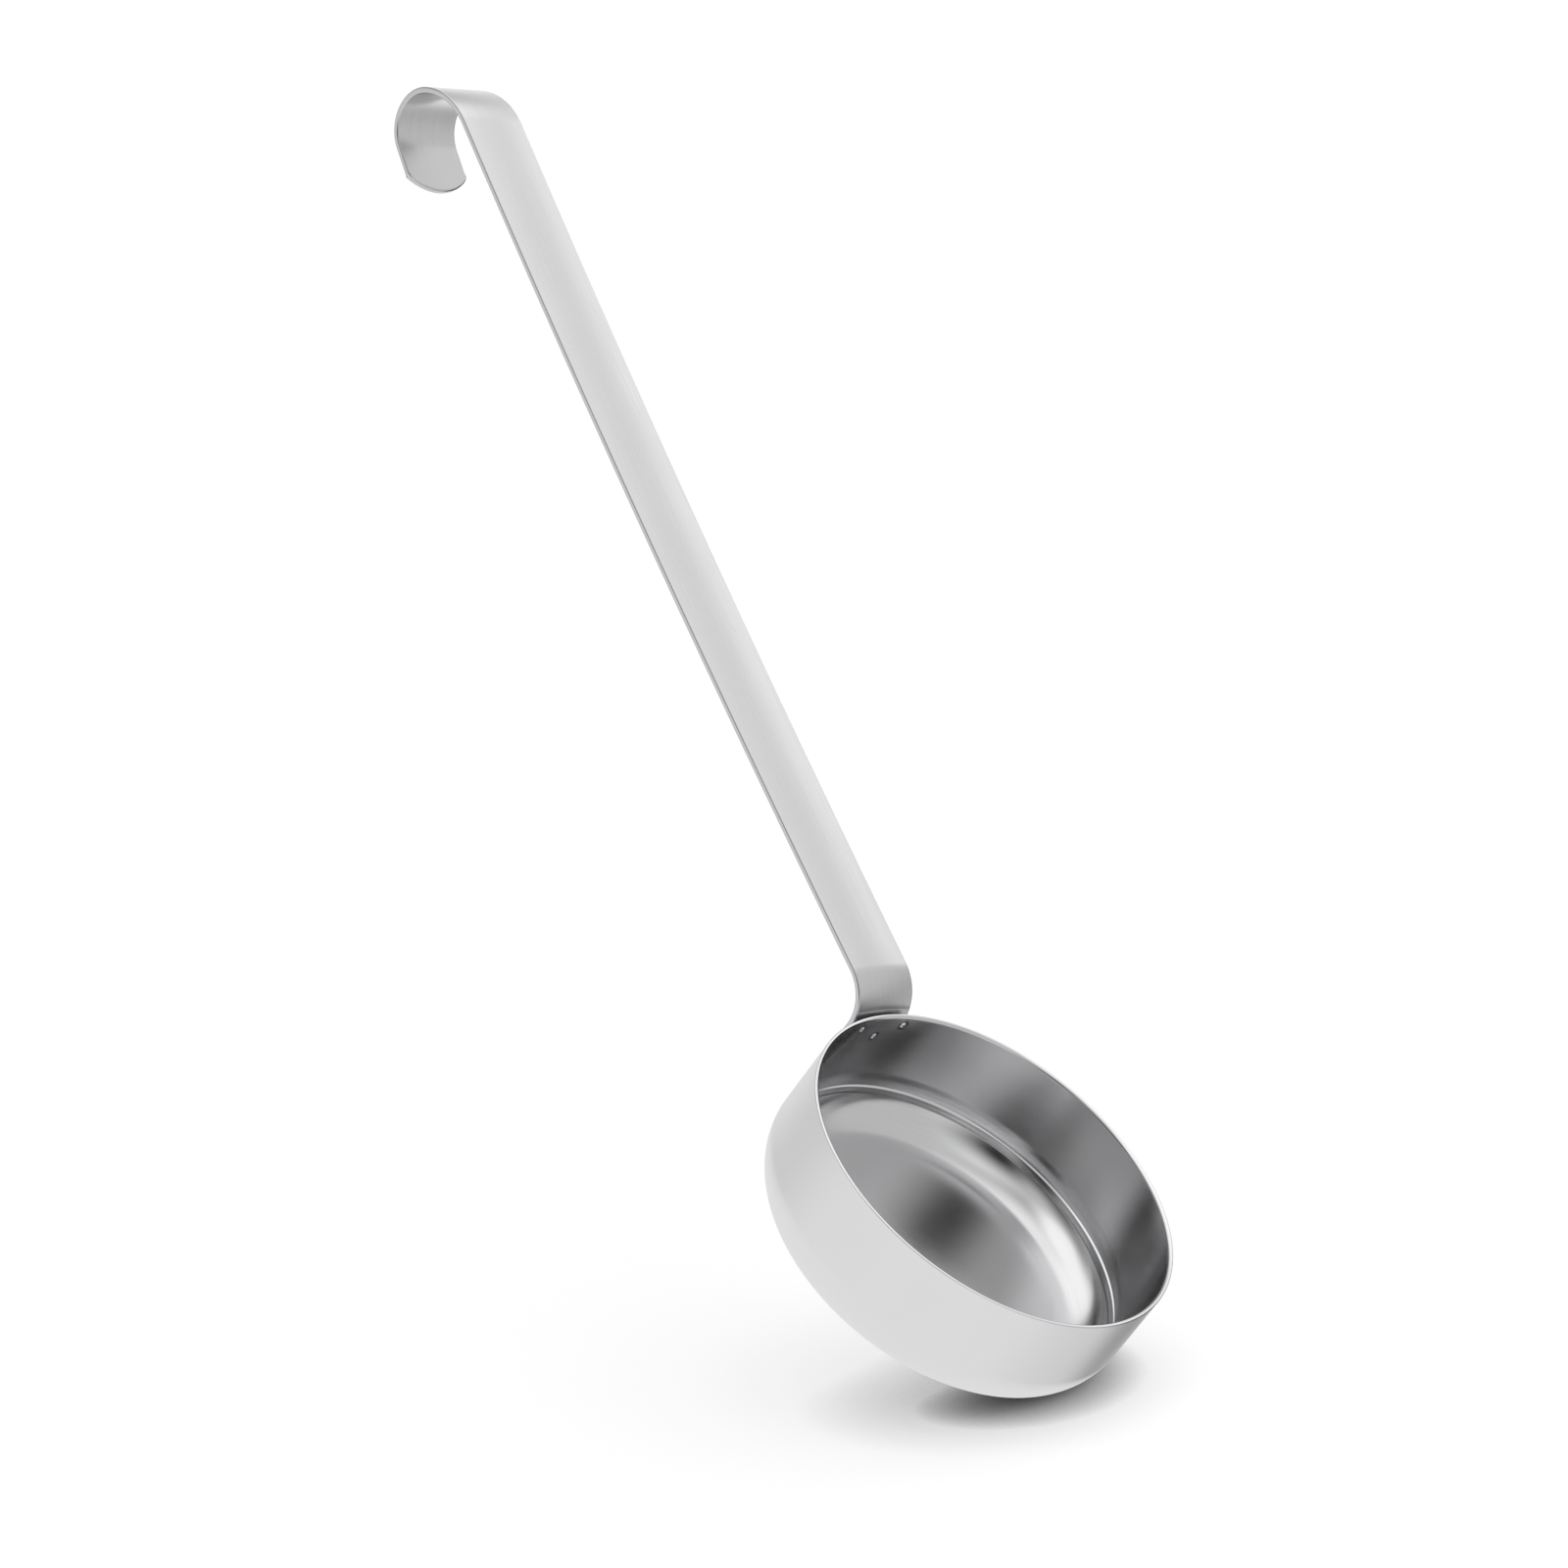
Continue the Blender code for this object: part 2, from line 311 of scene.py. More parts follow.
    def build(self) -> bpy.types.Material:
        """Make the material.

        Returns:
            The finished material.
        """
        material = bpy.data.materials.new(self.name)
        material.use_nodes = True
        tree = material.node_tree
        shader = tree.nodes["Principled BSDF"]
        shader.inputs["Metallic"].default_value = 1.0
        marks = self.marks(tree, self.grain_coordinates(tree))
        clouds = self.clouds(tree)
        fine = add_node(tree, "ShaderNodeMath", {"operation": "MULTIPLY"},
                        {0: marks, 1: self.MARKS_PART})
        mixed = add_node(tree, "ShaderNodeMath", {"operation": "MULTIPLY_ADD"},
                         {0: clouds, 1: self.CLOUDS_PART, 2: fine.outputs["Value"]})
        tone = add_node(tree, "ShaderNodeMix", {"data_type": "RGBA"},
                        {"Factor": mixed.outputs["Value"], "A": srgb(self.dark_colour),
                         "B": srgb(self.colour)})
        gloss = add_node(tree, "ShaderNodeMapRange", {},
                         {"Value": mixed.outputs["Value"],
                          "From Min": self.NOISE_LOW, "From Max": self.NOISE_HIGH,
                          "To Min": self.roughness + self.roughness_spread,
                          "To Max": self.roughness - self.roughness_spread})
        colour, rough = self.place_marks(tree, tone.outputs["Result"], gloss.outputs["Result"])
        colour, rough = self.add_wear_and_painted_light(tree, colour, rough)
        tree.links.new(colour, shader.inputs["Base Color"])
        tree.links.new(rough, shader.inputs["Roughness"])
        bump = add_node(tree, "ShaderNodeBump", {},
                        {"Height": marks, "Distance": millimetres(self.grain_depth_mm),
                         "Strength": 1.0})
        tree.links.new(bump.outputs["Normal"], shader.inputs["Normal"])
        return material


@dataclass(frozen=True)
class DrawnSteel(StainlessSteel):
    """Sheet steel with a polished inside, a satin outside and a darker ring round each weld.
    """

    DARK_RING_CORE = 0.8
    DARK_RING_EDGE = 1.5

    outside_colour: str
    outside_extra: float
    mark_colour: str
    mark_roughness: float
    mark_reach_mm: float
    mark_ripple_mm: float
    mark_places_mm: tuple[tuple[float, float, float], ...]

    def near_welds(self, tree: Tree) -> Socket:
        """Share of the darker, rougher ring round a weld at each place, on the inside of the
        sheet.

        Args:
            tree: Node tree of the material.

        Returns:
            Socket that gives the share, from 0 to 1.
        """
        reach = millimetres(self.mark_reach_mm)
        place = add_node(tree, "ShaderNodeTexCoord")
        ripple = add_node(tree, "ShaderNodeTexNoise", {},
                          {"Vector": place.outputs["Object"],
                           "Scale": MM_PER_METRE / self.mark_ripple_mm, "Detail": 2.0})
        share = None
        for centre in self.mark_places_mm:
            away = add_node(tree, "ShaderNodeVectorMath", {"operation": "DISTANCE"},
                            {0: place.outputs["Object"], 1: Vector(centre) / MM_PER_METRE})
            uneven = add_node(tree, "ShaderNodeMath", {"operation": "MULTIPLY_ADD"},
                              {0: ripple.outputs["Fac"], 1: reach,
                               2: away.outputs["Value"]})
            ring = add_node(tree, "ShaderNodeMapRange", {"interpolation_type": "SMOOTHSTEP"},
                            {"Value": uneven.outputs["Value"],
                             "From Min": reach * self.DARK_RING_CORE,
                             "From Max": reach * self.DARK_RING_EDGE,
                             "To Min": 1.0, "To Max": 0.0})
            if share is None:
                share = ring.outputs["Result"]
            else:
                share = add_node(tree, "ShaderNodeMath", {"operation": "MAXIMUM"},
                                 {0: share, 1: ring.outputs["Result"]}).outputs["Value"]
        return share

    def place_marks(
        self, tree: Tree, colour: Socket, rough: Socket
    ) -> tuple[Socket, Socket]:
        """Give the outside its satin and paler colour, with the inside darker partly as
        painted shade, and darken the sheet round the welds.

        Args:
            tree: Node tree of the material.
            colour: Socket that gives the colour.
            rough: Socket that gives the roughness of the inside.

        Returns:
            Sockets that give the colour and the roughness.
        """
        outside = add_node(tree, "ShaderNodeAttribute", {"attribute_name": OUTSIDE_SHARE})
        satin = add_node(tree, "ShaderNodeMath", {"operation": "MULTIPLY_ADD"},
                         {0: outside.outputs["Fac"], 1: self.outside_extra, 2: rough})
        near = self.near_welds(tree)
        pale = add_node(tree, "ShaderNodeMix", {"data_type": "RGBA"},
                        {"Factor": outside.outputs["Fac"], "A": colour,
                         "B": srgb(self.outside_colour)})
        tone = add_node(tree, "ShaderNodeMix", {"data_type": "RGBA"},
                        {"Factor": near, "A": pale.outputs["Result"],
                         "B": srgb(self.mark_colour)})
        gloss = add_node(tree, "ShaderNodeMix", {"data_type": "FLOAT"},
                         {"Factor": near, "A": satin.outputs["Value"],
                          "B": self.mark_roughness})
        return tone.outputs["Result"], gloss.outputs["Result"]


# Cold-rolled sheet, deep drawn, then polished inside and brushed satin outside on a lathe: a
# soft grey mirror within, a pale blur without, and marks that run round the axis. The inside's
# colour is a little darker than the outside's, partly as painted shade inside the cup
DRAWN_SHEET = DrawnSteel(
    name="satin_drawn_sheet",
    slot="drawn_sheet_steel",
    colour="DDDDDE",
    dark_colour="D3D3D4",
    roughness=0.17,
    roughness_spread=0.02,
    grain=Grain.ROUND_AXIS,
    grain_width_mm=0.45,
    grain_length_mm=22.0,
    grain_depth_mm=0.0004,
    cloud_size_mm=14.0,
    # Painted highlight along the rim's top, partly real wear
    wear_and_painted_light_colour="EEEEEF",
    worn_roughness=0.13,
    # Paler colour of the outside; the inside stays darker, partly as painted shade
    outside_colour="DEDEDF",
    outside_extra=0.19,
    # Darker colour of a ring round each weld on the inside
    mark_colour="5C5C60",
    mark_roughness=0.24,
    mark_reach_mm=1.6,
    mark_ripple_mm=10.0 / 7.0,
    mark_places_mm=((-38.54, -5.86, 25.7), (-39.0, 0.0, 22.7), (-38.54, 5.86, 25.7)),
)

# Flat bar with belt-ground faces: pale and soft, with fine marks along its run, and edges
# painted slightly darker as painted shade
GROUND_BAR = StainlessSteel(
    name="belt_ground_bar",
    slot="ground_bar_steel",
    colour="E3E3E4",
    dark_colour="D7D7D8",
    roughness=0.26,
    roughness_spread=0.02,
    grain=Grain.ALONG_STRAP,
    grain_width_mm=0.45,
    grain_length_mm=24.0,
    grain_depth_mm=0.0004,
    cloud_size_mm=18.0,
    # Painted shade along the strap's edges
    wear_and_painted_light_colour="C2C2C4",
    worn_roughness=0.22,
)

# Resistance weld, pressed into small domes that were buffed with the inside, with a painted
# highlight: a bright ring on each dome
WELD_METAL = StainlessSteel(
    name="pressed_weld_steel",
    slot="weld_steel",
    colour="E4E4E6",
    dark_colour="A8A8AC",
    roughness=0.20,
    roughness_spread=0.05,
    grain=Grain.NONE,
    grain_width_mm=0.5,
    grain_length_mm=0.5,
    grain_depth_mm=0.01,
    cloud_size_mm=1.5,
    # Painted highlight: the bright ring on each weld's dome
    wear_and_painted_light_colour="F2F2F2",
    worn_roughness=0.14,
)


def finished_piece(
    name: str, shape: Mesh, finish: StainlessSteel, nodes: tuple[str, ...]
) -> bpy.types.Object:
    """Turn a bmesh into a smooth-shaded piece that stands for frame nodes.

    Args:
        name: Name of the piece.
        shape: The piece's mesh, in place, which is freed.
        finish: What the piece is made of.
        nodes: Frame nodes that the piece replaces.

    Returns:
        The new object, riding on the ladle's body.
    """
    mesh = bpy.data.meshes.new(name)
    shape.to_mesh(mesh)
    shape.free()
    mesh.shade_smooth()
    mesh.set_sharp_from_angle(angle=math.radians(SHARP_ANGLE))
    mesh.materials.append(finish.build())
    piece = new_object(name, mesh)
    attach(piece, ROOT_BODY)
    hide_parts(*nodes)
    LOG.info("%s stands for %s: %d faces", name, ", ".join(nodes), len(mesh.polygons))
    return piece


@dataclass
class LadleCup:
    """Shallow round cup of drawn sheet, with a raised ring inside.

    Lengths in metres. Inside, the wall is straight for the upright's depth, and the floor
    starts from the corner at the dish's slope in degrees. A point as near to the corner's
    arc as ring_catch can be lifted into the ring, which rises over the share ring_flank.
    """

    rim_radius: float = 0.0400
    height: float = 0.0279
    corner_radius: float = 0.0118
    sheet: float = 0.0010
    rim_outer_edge: float = 0.0002
    rim_outer_segments: int = 4
    rim_inner_edge: float = 0.0007
    rim_inner_segments: int = 8
    # Depth below the rim's top that gets its painted highlight
    worn_and_highlighted_rim: float = 0.00004
    upright: float = 0.0155
    inner_radius: float = 0.0108
    dish_slope: float = 3.5
    floor_cuts: int = 28
    ring_depth: float = 0.0196
    ring_width: float = 0.0017
    ring_height: float = 0.00024
    ring_flank: float = 0.5
    ring_catch: float = 0.0002
    sides: int = 256
    corner_segments: int = 60
    inner_segments: int = 150
    shortest_run: float = 0.0030
    hold_distance: float = 0.00004

    def inner_corner(self) -> tuple[Vector, Vector]:
        """Where the inside's rounded corner has its centre and meets the dished floor.

        Returns:
            Both points in the plane of X and Z.
        """
        slope = math.radians(self.dish_slope)
        inside = self.rim_radius - self.sheet
        centre = Vector((inside - self.inner_radius, 0.0, self.height - self.upright))
        foot = Vector((math.sin(slope), 0.0, -math.cos(slope))) * self.inner_radius
        return centre, centre + foot

    def section(self) -> Mesh:
        """Half section of the cup as a chain of edges, with its corners rounded.

        Returns:
            A bmesh in the plane of X and Z.
        """
        inside = self.rim_radius - self.sheet
        slope = math.radians(self.dish_slope)
        _, foot = self.inner_corner()
        tangent = self.inner_radius * math.tan((math.pi / 2.0 - slope) / 2.0)
        work = half_section([
            (0.0, 0.0),
            (self.rim_radius, 0.0),
            (self.rim_radius, self.height),
            (inside, self.height),
            (inside, self.height - self.upright - tangent),
            (0.0, foot.z - foot.x * math.tan(slope)),
        ])
        points = list(work.verts)
        roundings = (
            (points[1], self.corner_radius, self.corner_segments),
            (points[2], self.rim_outer_edge, self.rim_outer_segments),
            (points[3], self.rim_inner_edge, self.rim_inner_segments),
            (points[4], tangent, self.inner_segments),
        )
        for point, reach, segments in roundings:
            bmesh.ops.bevel(work, geom=[point], offset=reach, offset_type="OFFSET",
                            affect="VERTICES", segments=segments, profile=0.5, material=-1)
        self.dish_floor(work)
        self.hold_straights(work)
        self.raise_ring(work)
        return work

    def dish_floor(self, work: Mesh) -> None:
        """Curve the inside's floor into a shallow dish that runs on from the corner.

        Args:
            work: The half section, changed in place.
        """
        _, foot = self.inner_corner()
        slope = math.radians(self.dish_slope)
        curve_radius = foot.x / math.sin(slope)
        floor_line = min(
            (edge for edge in work.edges
             if min(end.co.x for end in edge.verts) < SAME_PLACE),
            key=lambda edge: min((end.co - foot).length for end in edge.verts),
        )
        bmesh.ops.subdivide_edges(work, edges=[floor_line], cuts=self.floor_cuts)
        for point in work.verts:
            inwards = foot.x - point.co.x
            off_slope = foot.z - inwards * math.tan(slope) - point.co.z
            if inwards > 0.0 and abs(off_slope) < SAME_PLACE:
                point.co.z += inwards ** 2 / (2.0 * curve_radius)

    def hold_straights(self, work: Mesh) -> None:
        """Put a point just inside both ends of each long straight run.

        They keep the smooth shading of a rounded corner out of the flat run beside it.

        Args:
            work: The half section, changed in place.
        """
        long_runs = [edge for edge in work.edges if edge.calc_length() > self.shortest_run]
        for run in long_runs:
            start, end = run.verts
            share = self.hold_distance / run.calc_length()
            _, middle = bmesh.utils.edge_split(run, start, share)
            rest = next(edge for edge in middle.link_edges if end in edge.verts)
            bmesh.utils.edge_split(rest, end, self.hold_distance / rest.calc_length())

    def raise_ring(self, work: Mesh) -> None:
        """Lift the inside of the section into the ring, square to the sheet.

        Args:
            work: The half section, changed in place.
        """
        centre, _ = self.inner_corner()
        middle = self.height - self.ring_depth
        for point in work.verts:
            out = point.co - centre
            on_inside = abs(out.length - self.inner_radius) < self.ring_catch
            away = abs(point.co.z - middle) / (self.ring_width / 2.0)
            if on_inside and away < 1.0:
                flank = min((1.0 - away) / self.ring_flank, 1.0)
                rise = self.ring_height * math.sin(flank * math.pi / 2.0) ** 2
                point.co -= out.normalized() * rise

    def under_outside(self, radius: float, height: float) -> float:
        """Depth of a place below the cup's outer surface.

        Args:
            radius: Distance from the cup's axis in metres.
            height: Height above the cup's underside in metres.

        Returns:
            The depth in metres.
        """
        out = radius - (self.rim_radius - self.corner_radius)
        down = self.corner_radius - height
        if out > 0.0 and down > 0.0:
            return self.corner_radius - math.hypot(out, down)
        return min(self.rim_radius - radius, height)

    def note_shares(self, work: Mesh) -> None:
        """Note for each point whether it is on the outside and on the rim's top, which gets a
        painted highlight and some wear.

        Args:
            work: The cup, changed in place.
        """
        for name in (OUTSIDE_SHARE, WEAR_AND_PAINTED_LIGHT):
            work.verts.layers.float.new(name)
        outside = work.verts.layers.float[OUTSIDE_SHARE]
        edge = work.verts.layers.float[WEAR_AND_PAINTED_LIGHT]
        for point in work.verts:
            depth = self.under_outside(math.hypot(point.co.x, point.co.y), point.co.z)
            point[outside] = 1.0 if depth < self.sheet / 2.0 else 0.0
            # Painted highlight, with some wear, on the rim's top
            point[edge] = 1.0 if point.co.z > self.height - self.worn_and_highlighted_rim else 0.0

    def build(self) -> bpy.types.Object:
        """Spin the section into the cup and dress it.

        Returns:
            The cup.
        """
        work = self.section()
        spin_section(work, self.sides)
        self.note_shares(work)
        return finished_piece("drawn_cup", work, DRAWN_SHEET, ("cup",))


@dataclass
class StrapHandle:
    """One bent strip of flat bar, from the tang on the cup to the hanging hook.

    Lengths in metres, turns in degrees. The strip is laid flat as a sheet of squares,
    bent along its middle line, and then given its thickness.
    """

    RUN_MAP = "strap_run"

    rim_radius: float = LadleCup.rim_radius
    rim_height: float = LadleCup.height
    clearance: float = 0.0003
    neck_width: float = 0.0154
    hook_width: float = 0.0163
    thickness: float = 0.0012
    edge_radius: float = 0.0003
    edge_segments: int = 3
    edge_angle: float = 60.0
    tang_length: float = 0.0100
    tang_curve_radius: float = 0.0800
    neck_drop: float = 0.0030
    neck_radius: float = 0.0086
    neck_turn: float = 78.2
    shank_length: float = 0.1995
    shank_bow: float = 3.5
    shank_crown: float = 0.0004
    shoulder_radius: float = 0.0143
    shoulder_turn: float = 56.6
    hook_radius: float = 0.0081
    hook_turn: float = 117.9
    tip_length: float = 0.0101
    end_arc_radius: float = 0.0120
    end_corner_radius: float = 0.0020
    end_land: float = 0.0045
    land_margin: float = 1.1
    end_rows: int = 6
    columns: int = 40
    bend_step: float = 2.0
    longest_step: float = 0.0040

    def stretches(self) -> dict[str, tuple[float, float]]:
        """Length and turn of each stretch, from the tang's end to the hook's tip.

        Returns:
            Length in metres and turn in radians by the stretch's name.
        """
        neck = math.radians(self.neck_turn)
        shoulder = math.radians(self.shoulder_turn)
        hook = math.radians(self.hook_turn)
        return {
            "tang": (self.tang_length, 0.0),
            "neck": (self.neck_radius * neck, neck),
            "shank": (self.shank_length, -math.radians(self.shank_bow)),
            "shoulder": (self.shoulder_radius * shoulder, shoulder),
            "hook": (self.hook_radius * hook, hook),
            "tip": (self.tip_length, 0.0),
        }

    def start_of(self, stretch: str) -> float:
        """Distance from the tang's end to where a stretch begins.

        Args:
            stretch: Name of the stretch.

        Returns:
            The distance in metres.
        """
        names = list(self.stretches())
        return sum(self.stretches()[name][0] for name in names[:names.index(stretch)])

    def length(self) -> float:
        """Developed length of the strap."""
        return sum(length for length, _ in self.stretches().values())

    def heading(self, angle: float) -> Vector:
        """Direction of the middle line after a turn; at zero it runs straight up."""
        return Vector((-math.sin(angle), 0.0, math.cos(angle)))

    def facing(self, angle: float) -> Vector:
        """Direction of the upper face after a turn; at zero it looks at the cup."""
        return Vector((math.cos(angle), 0.0, math.sin(angle)))

    def place_at(self, distance: float) -> tuple[Vector, float]:
        """Place and turn of the middle line at a distance from the tang's end.

        Args:
            distance: Distance along the strap in metres.

        Returns:
            The place in the ladle's frame and the turn in radians.
        """
        stand_off = self.clearance + self.thickness / 2.0
        angle = 0.0
        place = Vector((-(self.rim_radius + stand_off), 0.0, self.rim_height))
        place -= (self.neck_drop + self.tang_length) * self.heading(angle)
        for length, turn in self.stretches().values():
            part = min(distance, length)
            bend = turn * part / length
            chord = part if bend == 0.0 else 2.0 * (length / turn) * math.sin(bend / 2.0)
            place = place + chord * self.heading(angle + bend / 2.0)
            angle += bend
            distance -= part
            if distance <= 0.0:
                break
        return place, angle

    def half_width_at(self, distance: float) -> float:
        """Half width of the strap, which widens evenly along the shank.

        Args:
            distance: Distance from the tang's end in metres.

        Returns:
            The half width in metres.
        """
        share = (distance - self.start_of("shank")) / self.shank_length
        share = min(max(share, 0.0), 1.0)
        return (self.neck_width + share * (self.hook_width - self.neck_width)) / 2.0

    def end_point(self, share: float, half_width: float) -> tuple[float, float]:
        """Point of the strap's shallow rounded end with its small corners.

        Args:
            share: Way along the end, from -1 at one side to 1 at the other.
            half_width: Half width of the strap at that end, in metres.

        Returns:
            Depth from the end and offset across the strap, in metres.
        """
        corner = self.end_corner_radius
        meeting = math.asin((half_width - corner) / (self.end_arc_radius - corner))
        corner_depth = self.end_arc_radius - (self.end_arc_radius - corner) * math.cos(meeting)
        arc_run = self.end_arc_radius * meeting
        corner_run = corner * (math.pi / 2.0 - meeting)
        run = abs(share) * (arc_run + corner_run)
        if run <= arc_run:
            angle = run / self.end_arc_radius
            depth = self.end_arc_radius * (1.0 - math.cos(angle))
            offset = self.end_arc_radius * math.sin(angle)
        else:
            angle = meeting + (run - arc_run) / corner
            depth = corner_depth - corner * math.cos(angle)
            offset = half_width - corner + corner * math.sin(angle)
        return depth, math.copysign(offset, share)

    def stations(self) -> list[float]:
        """Distances along the strap of the straight rows across it.

        Returns:
            The distances from the tang's end in metres, without those of the two ends.
        """
        distances = [self.end_land]
        near_end = self.end_land * self.land_margin
        begin = 0.0
        for length, turn in self.stretches().values():
            steps = max(2, math.ceil(math.degrees(abs(turn)) / self.bend_step),
                        math.ceil(length / self.longest_step))
            for step in range(1, steps + 1):
                distance = begin + length * step / steps
                if near_end < distance < self.length() - near_end:
                    distances.append(distance)
            begin += length
        return distances + [self.length() - self.end_land]

    def layout(self, share: float, row: int, stations: list[float]) -> tuple[float, float]:
        """Place of a point of the flat strap before it is bent.

        Args:
            share: Way across the strap, from -1 to 1.
            row: Row along the strap; the first and last few fan out into the round ends.
            stations: Distances of the straight rows.

        Returns:
            Distance from the tang's end and offset from the middle line, in metres.
        """
        inner = row - self.end_rows
        straight = stations[min(max(inner, 0), len(stations) - 1)]
        offset = share * self.half_width_at(straight)
        past = max(-inner, inner - len(stations) + 1, 0)
        if past == 0:
            return straight, offset
        depth, end_offset = self.end_point(share, self.half_width_at(straight))
        end = depth if inner < 0 else self.length() - depth
        fan = past / self.end_rows
        return straight + fan * (end - straight), offset + fan * (end_offset - offset)

    def section_rise(self, distance: float, offset: float) -> float:
        """Rise of the middle surface above the middle line, at an offset across the strap.

        Args:
            distance: Distance from the tang's end in metres.
            offset: Distance from the middle line across the strap in metres.

        Returns:
            The rise in metres.
        """
        past_tang, past_shank = (
            self.ease((distance - self.start_of(bend)) / self.stretches()[bend][0])
            for bend in ("neck", "shoulder"))
        radius = self.tang_curve_radius
        wrap = radius - math.sqrt(radius ** 2 - offset ** 2)
        crown = self.shank_crown * (1.0 - (offset / self.half_width_at(distance)) ** 2)
        return (1.0 - past_tang) * wrap + past_tang * (1.0 - past_shank) * crown

    def ease(self, share: float) -> float:
        """Smooth step from 0 to 1 that is flat at both ends."""
        share = min(max(share, 0.0), 1.0)
        return share * share * (3.0 - 2.0 * share)

    def sheet(self) -> Mesh:
        """Middle surface of the bent strap, with its flat layout kept as a UV map.

        Returns:
            The middle surface.
        """
        stations = self.stations()
        rows = len(stations) - 1 + 2 * self.end_rows
        work = bmesh.new()
        bmesh.ops.create_grid(work, x_segments=self.columns, y_segments=rows, size=1.0)
        work.verts.layers.float.new(WEAR_AND_PAINTED_LIGHT)
        work.loops.layers.uv.new(self.RUN_MAP)
        edge = work.verts.layers.float[WEAR_AND_PAINTED_LIGHT]
        run_map = work.loops.layers.uv[self.RUN_MAP]
        flat = {
            point: self.layout(point.co.x, round((point.co.y + 1.0) / 2.0 * rows), stations)
            for point in work.verts
        }
        last = 1.0 - 1.0 / self.columns
        for face in work.faces:
            for loop in face.loops:
                loop[run_map].uv = flat[loop.vert]
        for point, (distance, offset) in flat.items():
            side, end = abs(point.co.x), abs(point.co.y)
            # Painted shade: the outer columns and the end rows take the darker edge colour
            point[edge] = 1.0 if side > last or end > 1.0 - 0.5 / rows else 0.0
            place, angle = self.place_at(distance)
            rise = self.section_rise(distance, offset)
            point.co = place + rise * self.facing(angle) + Vector((0.0, offset, 0.0))
        bmesh.ops.recalc_face_normals(work, faces=work.faces)
        return work

    def build(self) -> bpy.types.Object:
        """Bend the strap, give it its thickness and rounded edges, and dress it.

        Returns:
            The strap handle.
        """
        strap = finished_piece("bent_strap", self.sheet(), GROUND_BAR, ("handle_strap",))
        wall = strap.modifiers.new("thickness", "SOLIDIFY")
        wall.thickness = self.thickness
        wall.offset = 0.0
        wall.use_even_offset = True
        edge = strap.modifiers.new("rounded_edges", "BEVEL")
        edge.width = self.edge_radius
        edge.segments = self.edge_segments
        edge.limit_method = "ANGLE"
        edge.angle_limit = math.radians(self.edge_angle)
        edge.use_clamp_overlap = False
        edge.harden_normals = True
        return strap


@dataclass
class SpotWelds:
    """Three small pressed welds through the cup's wall into the tang.

    Lengths in metres. The dome is given as shares of the weld's radius and crown, and
    each place as an offset to the side and a depth below the rim.
    """

    rim_radius: float = LadleCup.rim_radius
    rim_height: float = LadleCup.height
    sheet: float = LadleCup.sheet
    radius: float = 0.0009
    crown: float = 0.0003
    reach: float = 0.0003
    dome_foot: float = 0.0001
    dome: tuple[tuple[float, float], ...] = (
        (0.75, 0.35), (0.50, 0.85), (0.25, 1.0), (0.0, 1.0))
    glint_ring_share: float = 0.5
    glint_ring_reach: float = 0.00001
    sides: int = 32
    places: dict[str, tuple[float, float]] = field(default_factory=lambda: {
        "spot_weld_near": (-0.0060, 0.0022),
        "spot_weld_middle": (0.0, 0.0052),
        "spot_weld_far": (0.0060, 0.0022),
    })

    def nugget(self) -> Mesh:
        """One weld about its own axis, with a small raised dome at its end.

        Returns:
            The weld, whose dome looks along -Z from the wall's outside.
        """
        work = half_section([
            (0.0, self.reach),
            (self.radius, self.reach),
            (self.radius, -self.sheet + self.dome_foot),
            *((self.radius * out, -self.sheet - self.crown * rise) for out, rise in self.dome),
        ])
        spin_section(work, self.sides)
        edge = work.verts.layers.float.new(WEAR_AND_PAINTED_LIGHT)
        # Painted highlight: a thin bright ring halfway out on the dome
        glint_ring = self.radius * self.glint_ring_share
        for point in work.verts:
            away = abs(math.hypot(point.co.x, point.co.y) - glint_ring)
            point[edge] = 1.0 if away < self.glint_ring_reach else 0.0
        return work

    def build(self) -> list[bpy.types.Object]:
        """Set each weld square to the wall and dress it.

        Returns:
            The welds.
        """
        welds = []
        for node, (side, depth) in self.places.items():
            angle = math.asin(side / self.rim_radius)
            square = Vector((-math.cos(angle), math.sin(angle), 0.0))
            place = square * self.rim_radius + Vector((0.0, 0.0, self.rim_height - depth))
            work = self.nugget()
            turn = square.to_track_quat("Z", "Y").to_matrix().to_4x4()
            stand = Matrix.Translation(place) @ turn
            bmesh.ops.transform(work, matrix=stand, verts=work.verts)
            name = node.replace("spot_weld", "pressed_weld")
            welds.append(finished_piece(name, work, WELD_METAL, (node,)))
        return welds


@dataclass(frozen=True)
class SoftCard:
    """Round card with a soft edge that the steel reflects. Angles in degrees.

    Its place is an angle away from the camera and a clock angle, which starts at the
    camera's right and runs up. A level above zero is a light, one below it a dark card.
    """

    use: str
    from_camera: float
    clock: float
    core: float
    edge: float
    level: float


@dataclass(frozen=True)
class FloorShade:
    """Shade that the ladle gives the floor within a reach in metres.

    The light leans from upright by an angle in degrees, and power is the shade's
    strength.
    """

    reach: float
    power: float
    lean: float


